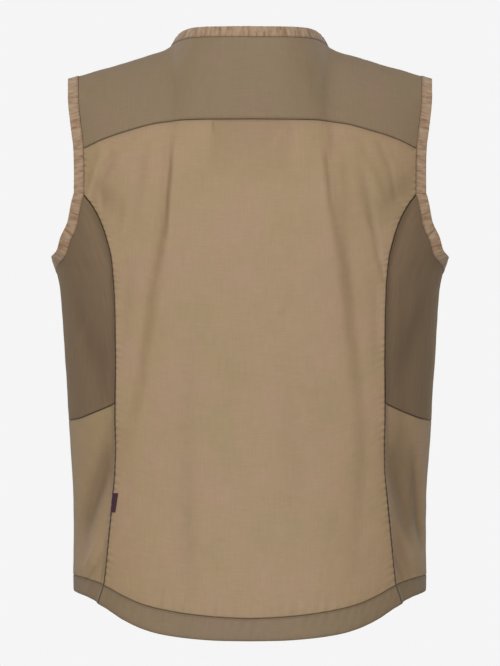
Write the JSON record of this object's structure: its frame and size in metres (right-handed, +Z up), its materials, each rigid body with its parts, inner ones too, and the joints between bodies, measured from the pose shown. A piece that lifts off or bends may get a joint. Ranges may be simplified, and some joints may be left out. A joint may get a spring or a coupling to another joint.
{
  "type": "wind vest",
  "caption": "Sleeveless front-zip wind vest, filled out as worn: olive yoke and hem band, tan body, stretch side panels, taped armholes and neck.",
  "frame": {"origin": "midway between the two neck points, where each shoulder line meets the neck band: where the wearer's neck holds the vest up", "axes": "+Z up, +Y towards the wearer's front, +X towards the wearer's right"},
  "size_m": [0.4568, 0.2525, 0.7035],
  "materials": {
    "tan_cloth": "plain-woven windproof cloth with a faint sheen",
    "olive_cloth": "plain-woven windproof cloth, matt",
    "brown_stretch": "soft knitted stretch cloth, matt",
    "twill_tape": "ribbed binding tape, matt",
    "plum_label": "plain woven tab",
    "zip_tape": "woven zip tape",
    "zip_plastic": "nylon coil and box",
    "zip_metal": "satin painted die casting"
  },
  "bodies": {
    "vest": {"back_panel": "tan_cloth", "front_left": "tan_cloth", "front_right": "tan_cloth", "side_lower_left": "tan_cloth", "side_lower_right": "tan_cloth", "yoke": "olive_cloth", "hem_back": "olive_cloth", "hem_side_left": "olive_cloth", "hem_side_right": "olive_cloth", "hem_front_left": "olive_cloth", "hem_front_right": "olive_cloth", "side_upper_left": "brown_stretch", "side_upper_right": "brown_stretch", "armhole_binding_left": "twill_tape", "armhole_binding_right": "twill_tape", "neck_band": "twill_tape", "side_label": "plum_label", "zip_tape_left": "zip_tape", "zip_tape_right": "zip_tape", "zip_chain": "zip_plastic", "zip_box": "zip_plastic", "zip_slider": "zip_metal"},
    "pull": {"zip_pull": "zip_metal"}
  },
  "joints": [
    {"name": "pull_swing", "type": "hinge", "parent": "vest", "child": "pull", "pos_m": [0, 0.10463, -0.06872], "axis": [1, 0, 0], "range_deg": [0, 150]}
  ]
}
